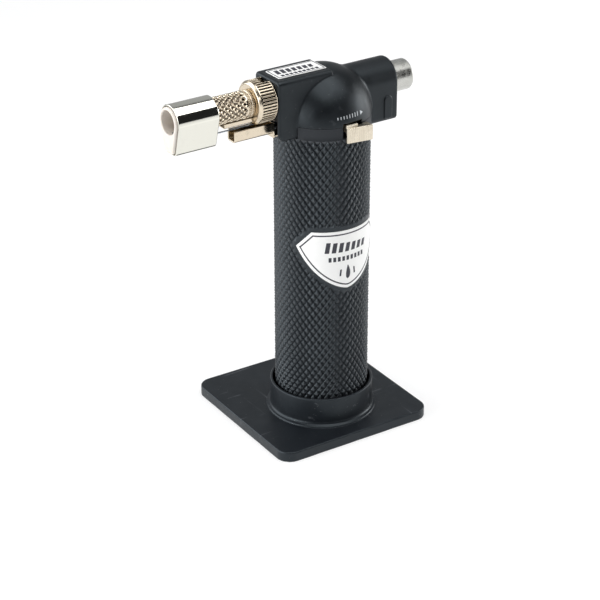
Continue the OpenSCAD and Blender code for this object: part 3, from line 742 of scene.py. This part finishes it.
def make_head():
    lo, hi = cad("head_cover")
    button_r = cad("ignition_button")[1][1]
    burner_z = middle_z("air_ring")
    piezo_z = middle_z("piezo_body")
    half, rear_half, wall = 8.2, 8.25, 1.5
    base_z = cad("grip_sleeve")[1][2] + 0.15

    def rear(x, y, z, h, x2, low, lip, r):
        side = length(y, np.maximum(z - 139.6, 0)) - h
        tilt = (np.abs(y) - h + (low + lip - z) * 0.6) * 0.857
        body = meet(side, low - z, r) if not lip else meet(meet(side, tilt, 0.3), low - z, 0.3)
        return meet(meet(body, x - x2, r), -x)

    def field(x, y, z):
        dome = meet(length(x, y, z - SEAM_Z) - DOME_R, SEAM_Z + 0.05 - z, 0.22)
        body = meet(np.abs(y) - half, z - hi[2], 1.7)
        body = meet(body, meet(lo[0] - x, base_z - z, 3.0), 1.2)
        body = meet(body, x + 0.7, 0.5)
        solid = join(dome, body, 0.6)
        solid = join(solid, rear(x, y, z, rear_half, hi[0], lo[2], 1.1, 0.8), 0.8)
        rib = length(x - 25.05, np.maximum(z - 133.35, 0)) - 1.85
        rib = meet(meet(rib, np.abs(y) - rear_half - 0.5, 0.3), lo[2] + 1.1 - z, 0.3)
        solid = join(solid, rib, 0.25)
        rho = length(x, y)
        hollow = length(x, y, z - SEAM_Z) - COVER_IN
        hollow = np.minimum(hollow, meet(rho - 18.95, z - 126.8))
        hollow = np.minimum(hollow, meet(rho - COVER_IN, between(z, 125.7, 131.9)))
        hollow = np.minimum(hollow, block(x, y, z, (lo[0] + wall, -6.7, 126.7), (0, 6.7, hi[2] - wall)))
        hollow = np.minimum(hollow, rear(x, y, z, rear_half - 1.3, hi[0] - wall, lo[2] + 1.3, 0, 0.0))
        solid = carve(solid, hollow)
        holes = meet(length(y, z - burner_z) - 5.05, between(x, lo[0] - 1, lo[0] + 3))
        button = meet(length(y, z - piezo_z) - button_r - 0.08, between(x, hi[0] - 3, hi[0] + 1))
        slot = block(x, y, z, (lo[0] - 1, -7, 125), (lo[0] + 3, 7, 135))
        notch = block(x, y, z, (-3.2, -20, 130.8), (5.6, -13.35, 133.1))
        notch = np.minimum(notch, block(x, y, z, (-3.2, -20, 130.8), (2.4, -13.35, 132.7)))
        return carve(carve(solid, np.minimum(holes, button), 0.3), np.minimum(slot, notch), 0.2)

    obj = mesh_field("head_moulding", field, lo, hi, 0.33)
    finish_piece(obj, "head_plastic", "torch", "head_cover")


def make_label():
    lo, hi = cad("label_plate")

    def field(x, y, z):
        u, v = np.abs(x - (lo[0] + hi[0]) / 2) - (hi[0] - lo[0]) / 2 + 0.5, np.abs(y) - hi[1] + 0.5
        sheet = length(np.maximum(u, 0), np.maximum(v, 0)) + np.minimum(np.maximum(u, v), 0) - 0.5
        return meet(sheet, between(z, lo[2], hi[2]), 0.06)

    obj = mesh_field("label_plate_print", field, lo, hi, 0.12)
    finish_piece(obj, "badge_print", "torch", "label_plate")

    def place(u, v, lift):
        return np.stack([u, v, hi[2] + lift + 0 * u], -1)

    x1, x2, y2 = lo[0], hi[0], hi[1]
    corners = [(x1, -y2), (x2, -y2), (x2, y2), (x1, y2)]
    shapes = [outline_band(corners, 0.40, 0.82)]
    for k in range(7):
        u = x1 + 1.9 + 2.4 * k
        shapes.append(bar_shape(u, -0.9, u + 1.75, 3.1 - 0.2 * k, 0.5))
    for k in range(9):
        u = x1 + 2.3 + 1.9 * k
        shapes.append(bar_shape(u, -3.5, u + 1.35, -1.9))
    obj = marks("label_marks", shapes, place, -0.04, 0.016)
    finish_piece(obj, "ink", "torch")


def make_legend():
    """A generic scale of ticks with an arrow, on the dome above the lock slider."""
    def place(u, v, lift):
        r = DOME_R + lift
        z = v - SEAM_Z
        rho = np.sqrt(r * r - z * z)
        angle = u / rho
        return np.stack([rho * np.sin(angle), -rho * np.cos(angle), v + 0 * u], -1)

    shapes = []
    for k in range(8):
        u = -5.4 + 1.25 * k
        shapes.append(bar_shape(u, 135.0, u + 0.34, 135.9 + 0.12 * k, cells=0.4))
    t = np.linspace(0.02, 1, 6)
    s = np.linspace(-1, 1, 5)
    arrow = np.stack([6.6 - 1.5 * t[:, None] + 0 * s, 135.8 + 0.85 * t[:, None] * s], -1)
    shapes.append((arrow, False))
    obj = marks("dome_legend", shapes, place, -0.05, 0.02)
    finish_piece(obj, "legend_ink", "torch")


def make_slider():
    lo, hi = cad("lock_slider")
    z1, z2 = lo[2], hi[2] - 1.1
    y1, y2 = -20.1, lo[1]
    x2 = hi[0]
    lean = math.atan2(y2 - y1, x2 - lo[0])

    def field(x, y, z):
        across = (x - lo[0]) * math.cos(lean) + (y - y1) * math.sin(lean)
        out = (x - lo[0]) * math.sin(lean) - (y - y1) * math.cos(lean)
        ridge = 0.09 * np.cos(2 * math.pi * across / 0.9) * np.clip((9.8 - across) / 3, 0.25, 1)
        body = meet(meet(out - ridge + 0.09, between(z, z1, z2), 0.35), between(x, lo[0], x2), 0.3)
        body = carve(meet(body, y + 14), length(x, y) - 19.05, 0.15)
        stem = block(x, y, z, (-2.15, -19.5, 129.6), (2.9, -15.6, hi[2]), 0.25)
        return join(body, stem, 0.2)

    obj = mesh_field("slider_tab", field, lo, hi, 0.15)
    finish_piece(obj, "nickel_lined", "lock", "lock_slider")


def make_button():
    lo, hi = cad("ignition_button")
    r = hi[1]
    piezo_z = middle_z("piezo_body")

    def field(x, y, z):
        rho = length(y, z - piezo_z)
        cup = meet(rho - r, between(x, 18, hi[0]), 0.6)
        dish = rod(x, y, z, (hi[0] + 30.0 - 0.12, 0, piezo_z), (hi[0] + 60, 0, piezo_z), 30.0)
        cup = carve(cup, meet(dish, rho - 5.0), 0.1)
        cup = carve(cup, meet(rho - 5.4, x - hi[0] + 0.9), 0.1)
        wedge = meet(block(x, y, z, (lo[0], -2, lo[2]), (24, 2, piezo_z - r + 1.0)),
                     (lo[2] + 0.84 - 0.112 * (x - 16.5) - z) * 0.99)
        wedge = carve(wedge, rho - 5.4)
        return np.minimum(cup, wedge)

    obj = mesh_field("button_cap", field, lo, hi, 0.2)
    finish_piece(obj, "button_steel", "ignition", "ignition_button")


# ---------------------------------------------------------------- burner

def make_air_ring():
    """Knurled air ring: straight ribs, a bevelled front lip and a notch at top and bottom."""
    lo, hi = cad("air_ring")
    r = hi[1]
    axis_z = (lo[2] + hi[2]) / 2
    ribs = 42

    def field(x, y, z):
        rho = length(y, z - axis_z)
        phi = np.arctan2(z - axis_z, y)
        wave = np.abs(np.sin(phi * ribs / 2))
        on_band = np.clip((x - lo[0] - 1.3) / 0.25, 0, 1) * np.clip((hi[0] - 0.35 - x) / 0.25, 0, 1)
        groove = 0.68 * np.exp(-(wave / 0.62) ** 4) * on_band
        body = meet(rho - r + groove, between(x, lo[0], hi[0]), 0.35)
        body = meet(body, (rho - r + 1.1 - (x - lo[0])) * 0.7071, 0.25)
        body = carve(body, rho - 7.05, 0.12)
        notch = meet(np.abs(y) - 2.6, between(x, hi[0] - 3.3, hi[0] + 1))
        return carve(body, notch, 0.15)

    obj = mesh_field("air_ring_knurled", field, lo, hi, 0.14)
    finish_piece(obj, "nickel_ring", "air_control", "air_ring")


def make_heat_guard():
    """Perforated guard: staggered holes sunk between raised pillows, and a fingered collar at its rear."""
    lo, hi = cad("heat_guard")
    r = hi[1]
    axis_z = (lo[2] + hi[2]) / 2
    rows, columns, pitch, first = 16, 9, 1.325, -48.2
    fingers, collar_length = 48, 2.9

    def field(x, y, z):
        rho = length(y, z - axis_z)
        phi = np.arctan2(-y, z - axis_z)
        nearest = np.full(np.broadcast(x, y, z).shape, 9.0)
        for i in range(columns):
            turn = (phi / (2 * math.pi) * rows + (i % 2) / 2 + 0.5) % 1 - 0.5
            arc = turn * 2 * math.pi / rows * r
            nearest = np.minimum(nearest, length(x - first - i * pitch, arc))
        sunk = 0.36 * np.exp(-(np.maximum(nearest - 0.5, 0) / 0.33) ** 2)
        collar = np.clip((x - hi[0] + collar_length) / 0.3, 0, 1)
        finger = 0.38 * np.exp(-(np.sin(phi * fingers / 2) / 0.5) ** 2) * collar
        back_end = hi[0] - x
        grooves = 0.5 * np.exp(-((back_end - 1.45) / 0.28) ** 2)
        grooves = grooves + 0.4 * np.exp(-((back_end - 0.1) / 0.25) ** 2)
        outer = rho - r + sunk * (1 - collar) + np.maximum(finger, grooves)
        tube = meet(meet(outer, r - 0.85 - rho), between(x, lo[0], hi[0]), 0.12)
        return carve(tube, nearest - 0.55, 0.08)

    obj = mesh_field("heat_guard_pierced", field, lo, hi, 0.135)
    finish_piece(obj, "nickel", "torch", "heat_guard")


def make_gas_lever():
    """Folded channel with round bends, a root tab, an arm and a hub ring."""
    lo, hi = cad("gas_lever")
    half, t, z1, z2 = 2.6, 0.6, 128.6, hi[2]
    root = -24.0

    def field(x, y, z):
        ends = meet(between(x, lo[0], root + 0.4), z - z2, 0.5)
        out = meet(meet(np.abs(y) - half, z1 - z, 1.15), ends, 0.12)
        inn = meet(meet(np.abs(y) - half + t, z1 + t - z, 0.55), between(x, lo[0] - 2, root), 0.0)
        channel = carve(out, meet(inn, z - z2 - 3), 0.1)
        tab = block(x, y, z, (root, -half, lo[2]), (root + 0.8, half, 132.8), 0.25)
        arm = block(x, y, z, (root, -half, 127.2), (-6.4, half, 128.0), 0.2)
        rho = length(x, y)
        hub = meet(meet(rho - 7.2, 5.25 - rho), between(z, 127.2, 128.0), 0.15)
        return join(join(channel, tab, 0.2), join(arm, hub, 0.2), 0.2)

    obj = mesh_field("gas_lever_sheet", field, lo, hi, 0.17)
    finish_piece(obj, "nickel", "flow_control", "gas_lever")


def make_bracket():
    lo, hi = cad("guard_bracket")
    axis_z = middle_z("heat_guard")
    guard_r = cad("heat_guard")[1][1]

    def field(x, y, z):
        out = meet(meet(np.abs(y) - hi[1], lo[2] - z, 0.7), meet(between(x, lo[0], hi[0]), z - hi[2]), 0.12)
        inn = meet(np.abs(y) - hi[1] + 0.5, lo[2] + 0.5 - z, 0.3)
        inn = meet(inn, x - hi[0] + 0.5)
        sheet = carve(out, inn)
        return carve(sheet, length(y, z - axis_z) - guard_r - 0.05)

    obj = mesh_field("guard_bracket_sheet", field, lo, hi, 0.14)
    finish_piece(obj, "nickel", "torch", "guard_bracket")


def nozzle_outline(y, z, axis_z):
    """Round top over a narrower foot, the CAD's section: distance in the Y-Z plane."""
    dx, dz, foot = 1.95, -10.4, 2.2
    v = z - axis_z
    left = tapered_bar(y, v, (0, 0), (-dx, dz), 6.65, foot)
    right = tapered_bar(y, v, (0, 0), (dx, dz), 6.65, foot)
    low = length(np.maximum(np.abs(y) - dx, 0), v - dz) - foot
    return np.minimum(np.minimum(left, right), low)


def make_shroud():
    lo, hi = cad("nozzle_shroud")
    axis_z = hi[2] - 6.65
    guard_r = cad("heat_guard")[1][1]
    wire_lo, wire_hi = cad("electrode_insulator")
    wire_y, wire_z = (wire_lo[1] + wire_hi[1]) / 2, (wire_lo[2] + wire_hi[2]) / 2

    def field(x, y, z):
        d = nozzle_outline(y, z, axis_z)
        out = meet(d, between(x, lo[0], hi[0]), 0.45)
        inn = meet(d + 0.5, between(x, lo[0] - 2, hi[0] - 0.6), 0.3)
        shell = carve(out, inn, 0.08)
        opening = np.minimum(length(y, z - axis_z) - guard_r - 0.05, length(y - wire_y, z - wire_z) - 0.9)
        return carve(shell, meet(opening, -60 - x), 0.08)

    obj = mesh_field("shroud_sheet", field, lo, hi, 0.20)
    finish_piece(obj, "shroud_chrome", "torch", "nozzle_shroud")


def make_ceramic():
    lo, hi = cad("ceramic_nozzle")
    axis_z = cad("nozzle_shroud")[1][2] - 6.65
    wire_lo, wire_hi = cad("electrode_insulator")
    wire_y, wire_z = (wire_lo[1] + wire_hi[1]) / 2, (wire_lo[2] + wire_hi[2]) / 2
    tip = (-3.3, axis_z - 2.95)
    front = lo[0] + 0.7

    def field(x, y, z):
        d = nozzle_outline(y, z, axis_z) + 0.56 + 0.3 * np.clip(-65 - x, 0, 1)
        body = meet(d, front - x, 0.8)
        body = meet(body, x - hi[0], 0.3)
        rho = length(y, z - axis_z)
        body = carve(body, meet(rho - 4.6, x + 56.4), 0.45)
        body = carve(body, meet(rho - 4.05, -57 - x))
        way = np.minimum(rod(x, y, z, (-50, wire_y, wire_z), (-60, wire_y, wire_z), 0.5),
                         rod(x, y, z, (-60, wire_y, wire_z), (-64, tip[0], tip[1]), 0.5))
        way = np.minimum(way, rod(x, y, z, (-64, tip[0], tip[1]), (lo[0] - 1, tip[0], tip[1]), 0.42))
        return carve(body, way, 0.1)

    obj = mesh_field("ceramic_tip", field, lo, hi, 0.21)
    finish_piece(obj, "ceramic", "torch", "ceramic_nozzle")


# ---------------------------------------------------------------- carried-over CAD nodes

# head_base takes the darker, duller copy of the head plastic: painted shade on the recessed ring.
NODE_LOOKS = {"electrode_wire": "wire_steel", "flame_grid": "hot_metal", "burner_tube": "hot_metal",
              "head_base": "base_plastic"}


def dress_cad_nodes():
    """Every CAD node that still shows takes the look of its material slot."""
    slots = {s["node"]: s["material_slot"] for s in frame["record"]["subparts"]}
    for node, obj in frame["nodes"].items():
        if obj.hide_render:
            continue
        look = NODE_LOOKS.get(node, slots[node])
        obj.data.materials.clear()
        obj.data.materials.append(LOOKS[look])


# ---------------------------------------------------------------- studio

def make_floor():
    """A plain pale sheet, slightly uneven in tone, lit a little from below like a light table."""
    size = 4000.0
    verts = [(-size, -size, -0.02), (size, -size, -0.02), (size, size, -0.02), (-size, size, -0.02)]
    floor = add_mesh("studio_floor", verts, [[0, 1, 2, 3]])
    m = Look("floor_paper", (0.46, 0.46, 0.46), 0.9)
    m.tint(m.band(m.noise(0.01, 3), 0.3, 0.7, 0, 0.3), (0.45, 0.45, 0.455))
    m.bump(m.noise(1.0, 2), 0.01)
    m.set("Emission Color", (1, 1, 1, 1))
    m.set("Emission Strength", FLOOR_GLOW)
    m.set("Specular IOR Level", 0.1)
    floor.data.materials.append(m.done())


def area_light(name, direction, distance, size, radiance):
    """Rectangular softbox aimed at the torch from a direction."""
    target = Vector((0, 0, 0.12))
    data = bpy.data.lights.new(name, "AREA")
    data.shape = "RECTANGLE"
    data.size, data.size_y = size
    data.energy = radiance * size[0] * size[1] * math.pi
    light = bpy.data.objects.new(name, data)
    bpy.context.scene.collection.objects.link(light)
    light.location = target + Vector(direction).normalized() * distance
    light.rotation_euler = (-Vector(direction)).to_track_quat("-Z", "Y").to_euler()


def make_room():
    """A dim studio: dark round the camera, with a grey backdrop and a pale wall to the left."""
    world = bpy.data.worlds.new("studio")
    bpy.context.scene.world = world
    world.use_nodes = True
    tree = world.node_tree
    place = tree.nodes.new("ShaderNodeTexCoord").outputs["Generated"]
    total = None
    for direction, inner, outer, radiance in ROOM_LOBES:
        dot = tree.nodes.new("ShaderNodeVectorMath")
        dot.operation = "DOT_PRODUCT"
        tree.links.new(place, dot.inputs[0])
        dot.inputs[1].default_value = Vector(direction).normalized()
        ramp = tree.nodes.new("ShaderNodeMapRange")
        ramp.interpolation_type = "SMOOTHSTEP"
        tree.links.new(dot.outputs["Value"], ramp.inputs[0])
        ramp.inputs[1].default_value = math.cos(math.radians(outer))
        ramp.inputs[2].default_value = math.cos(math.radians(inner))
        ramp.inputs[3].default_value = 0.0
        ramp.inputs[4].default_value = radiance
        if total is None:
            total = ramp.outputs[0]
        else:
            add = tree.nodes.new("ShaderNodeMath")
            tree.links.new(total, add.inputs[0])
            tree.links.new(ramp.outputs[0], add.inputs[1])
            total = add.outputs[0]
    add = tree.nodes.new("ShaderNodeMath")
    tree.links.new(total, add.inputs[0])
    add.inputs[1].default_value = ROOM_AMBIENT
    background = tree.nodes["Background"]
    background.inputs["Color"].default_value = (0.96, 0.98, 1.0, 1)
    tree.links.new(add.outputs[0], background.inputs["Strength"])


FLOOR_GLOW = 0.58
ROOM_AMBIENT = 0.018
ROOM_LOBES = [
    # direction, inner and outer half angle in degrees, radiance
    ((0.35, 0.80, 0.42), 24, 46, 0.42),
    ((-0.80, 0.55, 0.20), 22, 46, 3.2),
]


def make_studio():
    make_floor()
    area_light("overhead", (0.05, -0.24, 0.97), 1.12, (1.25, 1.15), 2.9)
    area_light("left", (-0.98, -0.12, 0.16), 1.1, (0.7, 0.5), 3.8)
    area_light("right", (0.94, -0.27, 0.14), 1.1, (0.80, 0.5), 4.8)
    make_room()


def make_camera():
    """The photograph's viewing angle."""
    azimuth, elevation, roll = -0.593606, 0.474334, 0.0018706
    data = bpy.data.cameras.new("camera")
    data.sensor_width = 36.0
    data.lens = 115.79
    data.shift_x = -0.9 / 600
    data.clip_start, data.clip_end = 0.01, 50
    camera = bpy.data.objects.new("camera", data)
    bpy.context.scene.collection.objects.link(camera)
    camera.location = Vector((-391.281, -565.165, 403.653)) * MM
    level = math.cos(elevation)
    view = Vector((-math.sin(azimuth) * level, math.cos(azimuth) * level, -math.sin(elevation)))
    camera.rotation_mode = "QUATERNION"
    camera.rotation_quaternion = view.to_track_quat("-Z", "Y")
    camera.rotation_quaternion.rotate(Quaternion(view, roll))
    bpy.context.scene.camera = camera


make_stand()
make_grip()
make_badge()
make_head()
make_label()
make_legend()
make_slider()
make_button()
make_air_ring()
make_heat_guard()
make_gas_lever()
make_bracket()
make_shroud()
make_ceramic()
dress_cad_nodes()
make_studio()
make_camera()
bpy.context.scene.view_settings.view_transform = "Standard"
